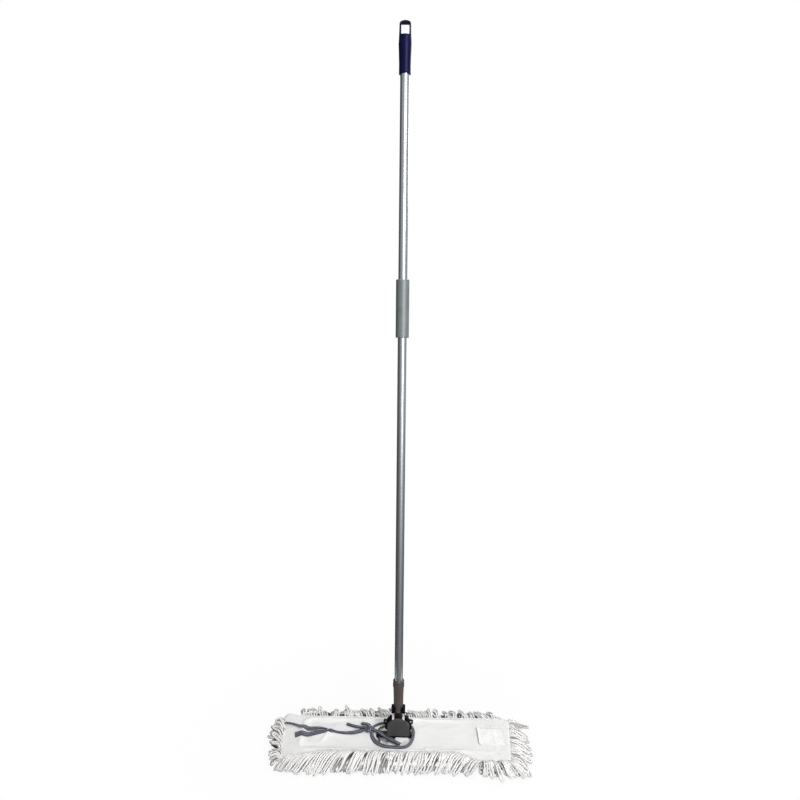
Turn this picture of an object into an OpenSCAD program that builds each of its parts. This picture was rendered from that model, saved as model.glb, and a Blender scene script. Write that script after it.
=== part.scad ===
// Dust mop: a yarn cover on a wire frame, a swivelling and tilting joint, and a tube handle.
// Millimetres. Origin on the floor under the handle, +Z up the handle, +X to the right,
// -Y towards the front. The handle stands upright and the lock slider is up.

/* [Mop cover] */
// Length of the canvas, left to right
cover_l = 505; // [400:1:700]
// Width of the canvas, front to back
cover_w = 160; // [130:1:220]
// Corner radius of the canvas
cover_corner_r = 16; // [8:1:30]
// How far the cover sits to the right of the handle axis
cover_dx = -6; // [-15:0.5:15]
// How far the cover sits behind the handle axis
cover_dy = -10; // [-15:0.5:15]
// Thickness of the canvas cloth
canvas_t = 1.2; // [0.8:0.1:2]
// Thickness of the yarn pile under the canvas
pile_h = 14; // [8:0.5:25]
// How far the pile stands in from the canvas edge
pile_inset = 6; // [3:0.5:15]
// Height of the pocket that the frame lies in
pocket_h = 8.4; // [7.8:0.1:12]
// Radius of the opening round the joint
opening_r = 42; // [36:0.5:50]
// How far the opening sits to the right of the handle axis
opening_dx = -10; // [-12:0.5:0]
// Width of the sewn label
label_w = 56; // [30:1:80]
// Depth of the sewn label
label_d = 58; // [30:1:80]
// Thickness of the sewn label
label_t = 0.5; // [0.3:0.1:1]
// Distance from the label to the right edge of the canvas
label_edge = 5; // [2:0.5:20]

/* [Fringe] */
// How far the front yarn loops reach past the canvas
fringe_front_len = 15; // [12:1:60]
// How far the back yarn loops reach past the canvas
fringe_back_len = 37; // [15:1:60]
// How far the left yarn loops reach past the canvas
fringe_left_len = 46; // [15:1:70]
// How far the right yarn loops reach past the canvas
fringe_right_len = 58; // [15:1:70]
// Distance from one gathered loop to the next
fringe_pitch = 12.4; // [9:0.2:25]

/* [Tie tapes] */
// Width of a tie tape
tape_w = 10; // [6:0.5:11]
// Thickness of a tie tape
tape_t = 2; // [1:0.1:2.4]
// Distance from the left end of the canvas to the sewn knot
tack_inset = 99.5; // [95:0.5:150]
// Radius of the knot beside the joint
knot_r = 11; // [9:0.5:13]
// Height of the knot beside the joint
knot_h = 10; // [8:0.5:11]
// Radius of the knot sewn to the canvas
tack_r = 8; // [7:0.5:11]
// Height of the knot sewn to the canvas
tack_h = 6; // [5:0.5:9]

/* [Wire frame] */
// Distance from the length of the frame to the length of the cover, at each end
frame_end_gap = 27.5; // [15:0.5:60]
// Distance from the width of the frame to the width of the cover, at each side
frame_side_gap = 24; // [17:0.5:40]
// Corner radius of the frame at the middle of the wire
frame_corner_r = 22; // [12:1:40]
// Diameter of the frame wire
wire_d = 5; // [4:0.1:6]
// Distance between the two cross wires
cross_gap = 86; // [70:1:110]

/* [Joint] */
// Width of the base bar, front to back
base_bar_d = 14; // [10:0.5:20]
// How far the base bar sits behind the handle axis
base_bar_dy = 6; // [0:0.5:8]
// How far the base bar runs past each cross wire
base_bar_over = 7; // [5:0.5:12]
// Radius of the base boss that the joint turns on
base_boss_r = 8.6; // [8:0.1:11]
// Diameter of the swivel rivet
rivet_d = 8; // [5:0.1:9]
// Diameter of the rivet heads
rivet_head_d = 13; // [11:0.1:15]
// Thickness of the rivet heads
rivet_head_t = 2.7; // [1.5:0.1:3.2]
// Thickness of the swivel washer
washer_t = 0.8; // [0.5:0.1:1.5]
// Thickness of the yoke floor
yoke_floor_t = 4; // [3:0.1:5]
// Radius of the yoke floor
yoke_floor_r = 21; // [18:0.5:24]
// Distance from the handle axis to the front of the yoke floor
yoke_floor_front = 8.6; // [8:0.1:12]
// Height of the tilt pin above the yoke floor
pivot_rise = 15.2; // [14.5:0.1:20]
// Distance between the yoke cheeks
cheek_gap = 33; // [31:0.1:33.6]
// Thickness of each yoke cheek
cheek_t = 3.5; // [2.5:0.1:3.8]
// Radius of the yoke cheeks round the tilt pin
cheek_r = 9; // [7:0.1:9.6]
// Diameter of the tilt pin
pin_d = 6; // [4:0.1:8]
// Distance between the inner edges of the wings
wing_gap = 29; // [26:0.1:30]
// Outer radius of the wings
wing_r = 31; // [28:0.1:33]
// Thickness of the wings
wing_t = 5; // [3:0.1:6]
// Height of the wing arch centre below the tilt pin
wing_drop = 6; // [5:0.1:9]
// Distance from the middle to each wing eyelet
eyelet_x = 29; // [27:0.1:31]
// Height of the wing eyelets above the tilt pin
eyelet_rise = 4.9; // [0:0.1:8]
// Diameter of the wing eyelets
eyelet_d = 5.2; // [3:0.1:6]
// Width of the hood
hood_w = 51; // [50.6:0.1:56]
// Wall thickness of the hood
hood_t = 2.5; // [1.8:0.1:2.7]
// Distance from the handle axis to the front of the hood
hood_front = 16; // [15.8:0.1:20]
// Height of the hood's lower edge above the canvas
hood_lift = 5.4; // [4.8:0.1:6.5]
// How far the hood arch centre stands above the tilt pin
hood_arch_rise = 1.2; // [0.5:0.1:3]
// Rounding radius of the hood from the front to the top
hood_round_r = 18; // [16:0.1:20]
// Slope in degrees of the hood's top edges, down to the back
hood_slope = 66; // [60:1:70]

/* [Lock slider] */
// Width of the lock slider
slider_w = 31.6; // [30.6:0.1:32.4]
// Depth of the lock slider, if it ran all the way round the socket
slider_d = 25.6; // [24.6:0.1:26]
// Height of the lock slider
slider_h = 12; // [9:0.1:16]
// Distance from the tilt pin to the lower end of the raised slider
slider_rise = 38.2; // [36:0.1:42]
// How far the slider moves down to lock the handle
slider_travel = 20; // [16:0.1:22]
// Width of the front window in the slider
slider_window = 12.6; // [8:0.1:16]
// How far the tail at the back of the slider stands above it
slider_tail = 10; // [6:0.1:12]
// Width of the tail at the back of the slider
slider_tail_w = 17; // [10:0.1:19]

/* [Socket] */
// Diameter of the tongue post
post_d = 19; // [16:0.1:19.6]
// Diameter of the tongue spigot in the socket
spigot_d = 14.8; // [12:0.1:15.4]
// Length of the tongue spigot
spigot_l = 26.5; // [22:0.5:28]
// Radius of the tongue eye round the tilt pin
eye_r = 8; // [6:0.1:8.6]
// Outer diameter of the socket where the slider runs
socket_d = 22; // [21:0.1:23]
// Outer diameter of the socket rim
socket_rim_d = 26; // [24.5:0.1:30]
// Height of the socket above the tilt pin at its lower end
socket_rise = 38; // [36:0.5:39]
// Length of the socket
socket_l = 74.5; // [65:0.1:95]
// Depth of the tube seat in the socket
seat_depth = 46; // [30:0.1:46.2]
// Width of the two slits in the socket mouth
slit_w = 3; // [1:0.1:5]
// Length of the two slits in the socket mouth
slit_l = 22; // [10:0.5:30]
// Diameter of the socket pin
socket_pin_d = 3; // [2:0.1:4]

/* [Handle] */
// Outer diameter of the handle tube
tube_d = 19; // [18:0.1:19.6]
// Wall thickness of the handle tube
tube_t = 1; // [0.7:0.1:1.6]
// Length of the handle tube
tube_l = 1422; // [1000:1:1600]
// Length of the plug stub inside the tube
plug_l = 16; // [8:0.5:30]
// Thickness of the plug flange
plug_flange_t = 1.8; // [1:0.1:3]
// Height of the middle sleeve above the lower end of the tube
sleeve_rise = 825; // [300:1:860]
// Length of the middle sleeve
sleeve_l = 123; // [80:1:200]
// Outer diameter of the middle sleeve
sleeve_d = 28.4; // [24:0.1:34]
// Edge rounding of the middle sleeve
sleeve_edge = 1.5; // [0.5:0.1:2]
// Length of the hand grip
grip_l = 102; // [98:0.5:125]
// Depth of the tube in the hand grip
grip_depth = 61.5; // [50:0.5:66]
// Diameter of the hand grip at its lower end
grip_low_d = 24.6; // [23:0.1:27]
// Largest diameter of the hand grip
grip_max_d = 27; // [26:0.1:32]
// Width of the hanging eye
hang_w = 16.4; // [10:0.1:17]
// Height of the hanging eye
hang_h = 22.8; // [12:0.1:24]
// Corner radius of the hanging eye
hang_corner_r = 2; // [1:0.1:4]
// Wall of the grip over the hanging eye
hang_wall = 3.6; // [3:0.1:8]
// Depth of the grip round the hanging eye
hang_d = 13; // [10:0.1:18]
// Radius of the arch along the top of the grip
grip_arch_r = 18.7; // [15:0.1:30]

/* [Fits] */
// Radial play of a turning or sliding fit
run_play = 0.08; // [0.02:0.01:0.1]
// Radial play of a fixed fit
fix_play = 0.03; // [0.01:0.01:0.05]
// Gap between parts that pass each other
pass_gap = 0.3; // [0.2:0.05:0.4]

/* [Hidden] */
$fn = 96;
sleeve_play = 0.05;

// Wire frame inside the cover
frame_l = cover_l - 2 * frame_end_gap;
frame_w = cover_w - 2 * frame_side_gap;

// Heights up through the mop head
base_top = pile_h + canvas_t;
wire_z = base_top + pass_gap + wire_d / 2;
pocket_top = base_top + pocket_h;
canvas_z = pocket_top + canvas_t;
bar_low = base_top + 0.4;
bar_top = pocket_top - 0.4;
boss_top = canvas_z + 1.2;
floor_low = boss_top + pass_gap;
floor_top = floor_low + yoke_floor_t;
washer_low = floor_top + 0.2;
washer_top = washer_low + washer_t;
pivot_z = floor_top + pivot_rise;

// Joint
cheek_in = cheek_gap / 2;
cheek_out = cheek_in + cheek_t;
wing_y = 5;
wing_z = pivot_z - wing_drop;
eyelet_z = pivot_z + eyelet_rise;
lug_r = eyelet_d / 2 + 2.9;
hood_low = canvas_z + hood_lift;
hood_back = wing_y - 0.5;
hood_arch_r = hood_w / 2;
hood_arch_z = pivot_z + hood_arch_rise;
hood_round_y = hood_round_r - hood_front;
hood_round_z = hood_arch_z + 16.7;
hood_top = hood_arch_z + hood_arch_r;
hood_ear_r = pin_d / 2 + 3;
slot_w = slider_w + 2.4;
pin_l = hood_w;
eye_w = cheek_gap - 0.6;

// Handle
slider_low = pivot_z + slider_rise;
slider_top = slider_low + slider_h;
socket_low = pivot_z + socket_rise;
socket_top = socket_low + socket_l;
seat_z = socket_top - seat_depth;
pin_z = slider_top + 4.5;
tube_low = seat_z + 0.2 + plug_flange_t;
tube_top = tube_low + tube_l;
sleeve_low = tube_low + sleeve_rise;
grip_low = tube_top - grip_depth;
grip_top = grip_low + grip_l;
hang_low = grip_top - hang_wall - hang_h;
hang_flat = hang_low - 1.8;
guide_top = slider_top + slider_tail + 2;

// Tapes, each one a route over the canvas from the handle axis
tape_z = canvas_z + 0.2 + tape_t / 2;
over_z = tape_z + tape_t + 0.4;
knot_at = [-70, 13];
tack_at = [cover_dx - cover_l / 2 + tack_inset, 6];
tail_back_route = [
    [tack_at[0] - 6, 9, over_z],
    [tack_at[0] - 21, 12, over_z],
    [tack_at[0] - 47, 16, tape_z + 0.6],
    [tack_at[0] - 67, 21, tape_z],
    [tack_at[0] - 89, 30, tape_z],
    [tack_at[0] - 113, 40, tape_z]
];
tail_front_route = [
    [tack_at[0] - 6, 3, tape_z],
    [tack_at[0] - 23, 0, tape_z],
    [tack_at[0] - 45, -3, tape_z],
    [tack_at[0] - 65, -4, tape_z],
    [tack_at[0] - 80, -7, tape_z]
];
band_route = [
    for (q = [[0.07, 6], [0.3, 2.5], [0.57, 3], [0.78, 8.5], [0.9, 13]])
        [tack_at[0] + q[0] * (knot_at[0] - tack_at[0]), q[1], tape_z]
];
loop_route = [
    [-62, 9, tape_z],
    [-61, -6, tape_z],
    [-55, -22, tape_z],
    [-42, -38, tape_z],
    [-20, -47, tape_z],
    [4, -48, tape_z],
    [21, -41, tape_z],
    [31, -26, tape_z],
    [36, -5, tape_z],
    [36, 15, tape_z],
    [29, 30, tape_z],
    [13, 38, tape_z],
    [-7, 41, tape_z],
    [-28, 41, tape_z],
    [-46, 36, tape_z],
    [-58, 26, tape_z],
    [-63, 17, tape_z]
];
end_long_route = [
    [-61.5, 12.5, over_z],
    [-44.5, -0.5, over_z - 0.6],
    [-27.5, -13.5, over_z - 1],
    [-10, -27, over_z - 0.8],
    [7, -40, over_z]
];
end_short_route = [
    [-79, 17, over_z],
    [-94, 21.5, tape_z + 1.6],
    [-109, 28, tape_z + 0.4],
    [-122, 35, tape_z]
];

// A rectangle with round corners about the middle
module round_rect(l, w, r) {
    square([l - 2 * r, w], center = true);
    square([l, w - 2 * r], center = true);
    for (sx = [-1, 1], sy = [-1, 1])
        translate([sx * (l / 2 - r), sy * (w / 2 - r)])
            circle(r = r);
}

// A shape drawn in x and z, pulled from the front to the back
module along_y(y0, y1) {
    translate([0, y1, 0])
        rotate([90, 0, 0])
            linear_extrude(height = y1 - y0)
                children();
}

// A shape drawn in y and z, pulled from the left to the right
module along_x(x0, x1) {
    translate([x0, 0, 0])
        rotate([90, 0, 90])
            linear_extrude(height = x1 - x0)
                children();
}

// A round bar from left to right
module bar_x(r, x0, x1, z) {
    translate([x0, 0, z])
        rotate([0, 90, 0])
            cylinder(r = r, h = x1 - x0);
}

// A round bar from front to back
module bar_y(r, y0, y1, x, z) {
    translate([x, y0, z])
        rotate([-90, 0, 0])
            cylinder(r = r, h = y1 - y0);
}

// Yarn sewn under the canvas, cut level on the floor
module yarn_pile() {
    color("white")
        translate([cover_dx, cover_dy, 0])
            linear_extrude(height = pile_h)
                round_rect(cover_l - 2 * pile_inset, cover_w - 2 * pile_inset,
                    cover_corner_r - pile_inset / 2);
}

// Lower canvas, which the yarn is sewn to
module canvas_base() {
    color("ivory")
        translate([cover_dx, cover_dy, pile_h])
            linear_extrude(height = canvas_t)
                round_rect(cover_l, cover_w, cover_corner_r);
}

// Upper canvas: the pocket for the frame, with the opening round the joint
module canvas_top() {
    color("white")
        difference() {
            translate([cover_dx, cover_dy, base_top])
                linear_extrude(height = pocket_h + canvas_t)
                    round_rect(cover_l, cover_w, cover_corner_r);
            translate([cover_dx, cover_dy, base_top - 1])
                linear_extrude(height = pocket_h + 1)
                    round_rect(cover_l - 2 * canvas_t, cover_w - 2 * canvas_t,
                        cover_corner_r - canvas_t);
            translate([opening_dx, 0, base_top])
                cylinder(r = opening_r, h = pocket_h + 2 * canvas_t);
        }
}

// Plain label sewn on the right of the canvas
module sewn_label() {
    color("white")
        translate([
            cover_dx + cover_l / 2 - label_edge - label_w / 2,
            cover_dy + 8,
            canvas_z
        ])
            linear_extrude(height = label_t)
                round_rect(label_w, label_d, 2);
}

// Place on one canvas edge at a distance t along it: [along, out, turn]
function edge_at(t, half, out, r) =
    let (over = abs(t) - half, turn = over > 0 ? over / r * 180 / PI : 0)
    [
        sign(t) * (min(abs(t), half) + r * sin(turn)),
        out - r + r * cos(turn),
        sign(t) * turn
    ];

// Outline of the yarn across the fringe: [share of the reach, height]
function fringe_outline(lift) = [
    [0, 10],
    [0.35, 1.2],
    [0.72, 0],
    [1, 1.6 + 0.8 * lift],
    [0.9, 3.6 + 2.4 * lift],
    [0.5, 9 + 4.5 * lift],
    [0, canvas_z - 2.5]
];

// One side of the fringe, drawn for the back and turned to its side
module fringe(edge_l, edge_out, reach, left_reach, right_reach, seed) {
    r = cover_corner_r + pass_gap;
    half = edge_l / 2 - cover_corner_r;
    end = half + r * PI / 4 - 0.15;
    loops = round(2 * end / fringe_pitch);
    steps = loops * 4;
    jitter = rands(-0.06, 0.06, loops + 1, seed);
    rings = [
        for (i = [0 : steps])
            let (
                t = -end + 2 * end * i / steps,
                p = edge_at(t, half, edge_out + pass_gap, r),
                near = max(0, abs(t) - half + 20) / (20 + r * PI / 4),
                corner = t < 0 ? left_reach : right_reach,
                lift = abs(sin(45 * i)),
                size = i == 0 || i == steps ? 0 : jitter[floor(i / 4)] * lift,
                full = reach * (1 - near) + sqrt(reach * corner) * near,
                len = full * (0.86 + 0.14 * lift) * (0.94 + size)
            )
            [
                for (q = fringe_outline(lift))
                    [
                        p[0] + sin(p[2]) * q[0] * len,
                        p[1] + cos(p[2]) * q[0] * len,
                        q[1]
                    ]
            ]
    ];
    skin(rings);
}

// A closed skin over rings that have the same number of points
module skin(rings) {
    n = len(rings[0]);
    m = len(rings);
    polyhedron(
        points = [for (ring = rings, p = ring) p],
        faces = concat(
            [[for (j = [0 : n - 1]) j]],
            [[for (j = [0 : n - 1]) (m - 1) * n + n - 1 - j]],
            [
                for (i = [0 : m - 2], j = [0 : n - 1])
                    [i * n + j, (i + 1) * n + j, (i + 1) * n + (j + 1) % n]
            ],
            [
                for (i = [0 : m - 2], j = [0 : n - 1])
                    [i * n + j, (i + 1) * n + (j + 1) % n, i * n + (j + 1) % n]
            ]
        ),
        convexity = 10
    );
}

// Yarn loops along the front edge
module fringe_front() {
    color("white")
        translate([cover_dx, cover_dy, 0])
            rotate([0, 0, 180])
                fringe(cover_l, cover_w / 2, fringe_front_len,
                    fringe_right_len, fringe_left_len, 3);
}

// Yarn loops along the back edge
module fringe_back() {
    color("white")
        translate([cover_dx, cover_dy, 0])
            fringe(cover_l, cover_w / 2, fringe_back_len,
                fringe_left_len, fringe_right_len, 5);
}

// Yarn loops along the left edge
module fringe_left() {
    color("white")
        translate([cover_dx, cover_dy, 0])
            rotate([0, 0, 90])
                fringe(cover_w, cover_l / 2, fringe_left_len,
                    fringe_front_len, fringe_back_len, 7);
}

// Yarn loops along the right edge
module fringe_right() {
    color("white")
        translate([cover_dx, cover_dy, 0])
            rotate([0, 0, -90])
                fringe(cover_w, cover_l / 2, fringe_right_len,
                    fringe_back_len, fringe_front_len, 11);
}

// Bent steel wire that spreads the cover
module frame_wire() {
    r = wire_d / 2;
    x = frame_l / 2 - r;
    y = frame_w / 2 - r;
    c = frame_corner_r;
    color("silver") {
        for (s = [-1, 1]) {
            translate([-(x - c), s * y, wire_z])
                rotate([0, 90, 0])
                    cylinder(r = r, h = 2 * (x - c));
            translate([s * x, -(y - c), wire_z])
                rotate([-90, 0, 0])
                    cylinder(r = r, h = 2 * (y - c));
        }
        for (k = [0 : 3])
            translate([
                (k == 0 || k == 3 ? 1 : -1) * (x - c),
                (k < 2 ? 1 : -1) * (y - c),
                wire_z
            ])
                rotate([0, 0, 90 * k])
                    rotate_extrude(angle = 90)
                        translate([c, 0])
                            circle(r = r, $fn = 48);
    }
}

// Straight wire across the frame, under one end of the base bar
module cross_wire(side) {
    y = frame_w / 2 - wire_d - 0.1;
    color("silver")
        bar_y(wire_d / 2, -y, y, side * cross_gap / 2, wire_z);
}

// Cross wire on the left
module cross_wire_left() {
    cross_wire(-1);
}

// Cross wire on the right
module cross_wire_right() {
    cross_wire(1);
}

// Base bar that snaps down on the cross wires and carries the joint
module hub_base() {
    half = cross_gap / 2 + base_bar_over;
    y0 = base_bar_dy - base_bar_d / 2;
    color("black")
        difference() {
            union() {
                translate([-half, y0, bar_low])
                    cube([2 * half, base_bar_d, bar_top - bar_low]);
                translate([0, 0, bar_low])
                    cylinder(r = base_boss_r, h = boss_top - bar_low);
            }
            for (s = [-1, 1])
                bar_y(wire_d / 2 + run_play, y0 - 1, y0 + base_bar_d + 1,
                    s * cross_gap / 2, wire_z);
            translate([0, 0, bar_low - 1])
                cylinder(r = rivet_d / 2 + fix_play, h = boss_top);
            translate([0, 0, bar_low - 1])
                cylinder(r = rivet_head_d / 2 + pass_gap, h = rivet_head_t + 1.3);
        }
}

// Rivet that the joint turns on
module swivel_rivet() {
    head_low = bar_low + 0.3;
    color("silver") {
        translate([0, 0, head_low])
            cylinder(r = rivet_head_d / 2, h = rivet_head_t);
        translate([0, 0, head_low])
            cylinder(r = rivet_d / 2, h = washer_top - head_low);
        translate([0, 0, washer_top])
            cylinder(r = rivet_head_d / 2, h = rivet_head_t);
    }
}

// Washer between the yoke floor and the rivet head
module swivel_washer() {
    color("silver")
        translate([0, 0, washer_low])
            difference() {
                cylinder(r = rivet_head_d / 2 + 1, h = washer_t);
                translate([0, 0, -1])
                    cylinder(r = rivet_d / 2 + run_play, h = washer_t + 2);
            }
}

// Gathered knot, a low button
module knot(r, h) {
    color("slategray")
        rotate_extrude() {
            square([r - h / 2, h]);
            intersection() {
                translate([r - h / 2, h / 2])
                    circle(r = h / 2, $fn = 48);
                square([r, h]);
            }
        }
}

// Knot where the tapes are sewn to the canvas
module tie_tack() {
    translate([tack_at[0], tack_at[1], canvas_z + 0.2])
        knot(tack_r, tack_h);
}

// Knot where the tapes are tied beside the joint
module tie_knot() {
    translate([knot_at[0], knot_at[1], canvas_z + 0.2])
        knot(knot_r, knot_h);
}

// Section of a tape: [across, up]
function tape_outline() = [
    [-tape_w / 2, -tape_t * 0.2],
    [-tape_w / 2 + 1, -tape_t / 2],
    [tape_w / 2 - 1, -tape_t / 2],
    [tape_w / 2, -tape_t * 0.2],
    [tape_w / 2, tape_t * 0.2],
    [tape_w / 2 - 1, tape_t / 2],
    [-tape_w / 2 + 1, tape_t / 2],
    [-tape_w / 2, tape_t * 0.2]
];

// Flat tape that lies along a route
module tape(route) {
    m = len(route);
    rings = [
        for (i = [0 : m - 1])
            let (
                d = route[min(i + 1, m - 1)] - route[max(i - 1, 0)],
                flat = sqrt(d[0] * d[0] + d[1] * d[1]),
                side = [d[1] / flat, -d[0] / flat, 0]
            )
            [for (q = tape_outline()) route[i] + side * q[0] + [0, 0, q[1]]]
    ];
    color("lightslategray")
        skin(rings);
}

// Back tail of the tapes on the left
module tie_tail_back() {
    tape(tail_back_route);
}

// Front tail of the tapes on the left
module tie_tail_front() {
    tape(tail_front_route);
}

// Stretch of tape between the two knots
module tie_band() {
    tape(band_route);
}

// Loop of tape round the joint
module tie_loop() {
    tape(loop_route);
}

// Long free end of the tape
module tie_end_long() {
    tape(end_long_route);
}

// Short free end of the tape
module tie_end_short() {
    tape(end_short_route);
}

// Outline of one wing with its lug, seen from the front
module wing_outline() {
    difference() {
        union() {
            intersection() {
                translate([0, wing_z])
                    circle(r = wing_r);
                translate([wing_gap / 2, floor_low])
                    square([wing_r, wing_r * 2]);
                translate([0, floor_top + 1])
                    square([wing_r * 2, wing_r * 2]);
            }
            translate([eyelet_x, eyelet_z])
                circle(r = lug_r);
        }
        translate([eyelet_x, eyelet_z])
            circle(r = eyelet_d / 2);
    }
}

// Yoke that turns on the base and carries the tilt pin, with two wings behind
module swivel_yoke() {
    color("black")
        difference() {
            union() {
                intersection() {
                    translate([0, 0, floor_low])
                        cylinder(r = yoke_floor_r, h = yoke_floor_t);
                    translate([-40, -yoke_floor_front, floor_low - 1])
                        cube([80, yoke_floor_front + 40, 20]);
                }
                for (s = [0, 1])
                    mirror([s, 0, 0]) {
                        along_x(cheek_in, cheek_out) {
                            translate([-cheek_r, floor_low])
                                square([2 * cheek_r, pivot_z - floor_low]);
                            translate([0, pivot_z])
                                circle(r = cheek_r);
                        }
                        along_y(wing_y, wing_y + wing_t)
                            wing_outline();
                    }
            }
            translate([0, 0, floor_low - 1])
                cylinder(r = rivet_d / 2 + run_play, h = yoke_floor_t + 2);
            bar_x(pin_d / 2 + fix_play, -40, 40, pivot_z);
            bar_x(eye_r + 0.6, -cheek_in, cheek_in, pivot_z);
        }
}

// Outline of the hood from the front
module hood_arch(r) {
    translate([-r, hood_low - 10])
        square([2 * r, hood_arch_z - hood_low + 10]);
    translate([0, hood_arch_z])
        circle(r = r);
}

// Outline of the hood from the side
module hood_side(inset) {
    y0 = -hood_front + inset;
    translate([y0, hood_low - 10])
        square([hood_back + 10 - y0, hood_round_z - hood_low + 10]);
    translate([hood_round_y, hood_round_z])
        circle(r = hood_round_r - inset);
    translate([hood_round_y, hood_round_z])
        square([hood_round_r, hood_round_r - inset]);
}

// Hood over the front of the joint, open behind for the handle, with an ear on each end of the pin
module hub_hood() {
    color("dimgray")
        difference() {
            intersection() {
                along_y(-hood_front, hood_back)
                    hood_arch(hood_arch_r);
                along_x(-hood_w, hood_w)
                    hood_side(0);
                translate([-hood_w, -hood_front - 1, hood_low])
                    cube([2 * hood_w, 60, 90]);
            }
            intersection() {
                along_y(-hood_front, hood_back + 1)
                    hood_arch(hood_arch_r - hood_t);
                along_x(-hood_w, hood_w)
                    hood_side(hood_t);
            }
            translate([-slot_w / 2, -hood_front + hood_t, pivot_z])
                cube([slot_w, hood_front + hood_back, 60]);
            difference() {
                translate([-hood_w, -hood_front + hood_t, hood_top])
                    rotate([-hood_slope, 0, 0])
                        cube([2 * hood_w, 60, 60]);
                bar_x(hood_ear_r, -hood_w, hood_w, pivot_z);
            }
            bar_x(pin_d / 2 + fix_play, -hood_w, hood_w, pivot_z);
        }
}

// Pin that the handle tilts on
module tilt_pin() {
    color("silver")
        bar_x(pin_d / 2, -pin_l / 2, pin_l / 2, pivot_z);
}

// Tongue of the handle, with the eye on the tilt pin and a spigot above
module pivot_tongue() {
    color("black")
        difference() {
            union() {
                bar_x(eye_r, -eye_w / 2, eye_w / 2, pivot_z);
                translate([0, 0, pivot_z])
                    cylinder(r = post_d / 2, h = socket_rise);
                translate([0, 0, pivot_z])
                    cylinder(r = spigot_d / 2, h = socket_rise + spigot_l);
            }
            bar_x(pin_d / 2 + run_play, -40, 40, pivot_z);
            bar_x(socket_pin_d / 2 + fix_play, -40, 40, pin_z);
        }
}

// Socket between the tongue and the tube, split at the mouth
module joint_socket() {
    r = socket_d / 2;
    rim = socket_rim_d / 2;
    color("#5a5650")
        difference() {
            rotate_extrude()
                polygon([
                    [0, socket_low],
                    [r, socket_low],
                    [r, guide_top],
                    [r + 0.9, socket_top - 17],
                    [rim, socket_top - 14.5],
                    [rim, socket_top - 8],
                    [rim - 1.5, socket_top - 6.6],
                    [rim - 1.5, socket_top - 5],
                    [rim - 0.3, socket_top - 4],
                    [rim - 0.3, socket_top - 0.8],
                    [rim - 1.1, socket_top],
                    [0, socket_top]
                ]);
            translate([0, 0, seat_z])
                cylinder(r = tube_d / 2 + fix_play, h = seat_depth + 1);
            translate([0, 0, socket_low - 1])
                cylinder(r = spigot_d / 2 + fix_play, h = seat_z - socket_low + 2);
            bar_x(socket_pin_d / 2 + fix_play, -40, 40, pin_z);
            translate([-rim - 1, -slit_w / 2, socket_top - slit_l])
                cube([2 * rim + 2, slit_w, slit_l + 1]);
        }
}

// Cross pin that holds the socket on the tongue
module socket_pin() {
    color("silver")
        bar_x(socket_pin_d / 2, -socket_d / 2 + 0.5, socket_d / 2 - 0.5, pin_z);
}

// Aluminium tube
module handle_tube() {
    color("silver")
        translate([0, 0, tube_low])
            difference() {
                cylinder(r = tube_d / 2, h = tube_l);
                translate([0, 0, -1])
                    cylinder(r = tube_d / 2 - tube_t, h = tube_l + 2);
            }
}

// Plug in the lower end of the tube
module tube_plug() {
    color("black") {
        translate([0, 0, tube_low - plug_flange_t])
            cylinder(r = tube_d / 2 - 0.2, h = plug_flange_t);
        translate([0, 0, tube_low - plug_flange_t])
            cylinder(r = tube_d / 2 - tube_t - fix_play, h = plug_l + plug_flange_t);
    }
}

// Soft sleeve for the lower hand
module mid_grip() {
    r = sleeve_d / 2;
    e = sleeve_edge;
    bore = tube_d / 2 + sleeve_play;
    color("#6d706a")
        translate([0, 0, sleeve_low])
            rotate_extrude() {
                translate([bore, e])
                    square([r - bore, sleeve_l - 2 * e]);
                translate([bore, 0])
                    square([r - bore - e, sleeve_l]);
                for (z = [e, sleeve_l - e])
                    translate([r - e, z])
                        circle(r = e, $fn = 48);
            }
}

// Grip at the top of the tube, with the hanging eye
module hand_grip() {
    low = grip_low_d / 2;
    top = grip_max_d / 2;
    widest = grip_top - 44;
    color("midnightblue")
        difference() {
            intersection() {
                rotate_extrude()
                    polygon([
                        [0, grip_low],
                        [low - 1, grip_low],
                        [low, grip_low + 1],
                        [low - 0.1, grip_low + 20],
                        [(low + top) / 2, grip_low + 42],
                        [top - 0.2, widest - 6],
                        [top, widest],
                        [top - 0.3, widest + 6],
                        [top - 0.9, widest + 20],
                        [top - 1.3, widest + 30],
                        [top - 1.6, grip_top],
                        [0, grip_top]
                    ]);
                along_y(-30, 30) {
                    translate([-30, grip_low])
                        square([60, grip_l - grip_arch_r]);
                    translate([0, grip_top - grip_arch_r])
                        circle(r = grip_arch_r);
                }
            }
            translate([0, 0, grip_low - 1])
                cylinder(r = tube_d / 2 + fix_play, h = grip_depth + 1.5);
            along_y(-30, 30)
                translate([0, hang_low + hang_h / 2])
                    round_rect(hang_w, hang_h, hang_corner_r);
            for (s = [0, 1])
                mirror([0, s, 0])
                    translate([-30, hang_d / 2, hang_flat])
                        cube([60, 30, 40]);
        }
}

// Slider that drops in front of the wings and holds the handle upright
module lock_slider() {
    color("midnightblue")
        difference() {
            union() {
                intersection() {
                    translate([0, 0, slider_low])
                        linear_extrude(height = slider_h)
                            round_rect(slider_w, slider_d, 3);
                    translate([-slider_w, -slider_d, slider_low])
                        cube([2 * slider_w, slider_d + wing_y - 0.6, slider_h]);
                }
                translate([0, 0, slider_low])
                    cylinder(r = slider_d / 2, h = slider_h);
                intersection() {
                    translate([0, 0, slider_low])
                        cylinder(r = slider_d / 2, h = slider_h + slider_tail);
                    translate([-slider_tail_w / 2, 0, slider_low])
                        cube([slider_tail_w, slider_d, slider_h + slider_tail]);
                }
            }
            translate([0, 0, slider_low - 1])
                cylinder(r = socket_d / 2 + run_play, h = slider_h + slider_tail + 2);
            translate([-slider_window / 2, -slider_d, slider_low - 1])
                cube([slider_window, slider_d, slider_h + 2]);
        }
}

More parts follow.
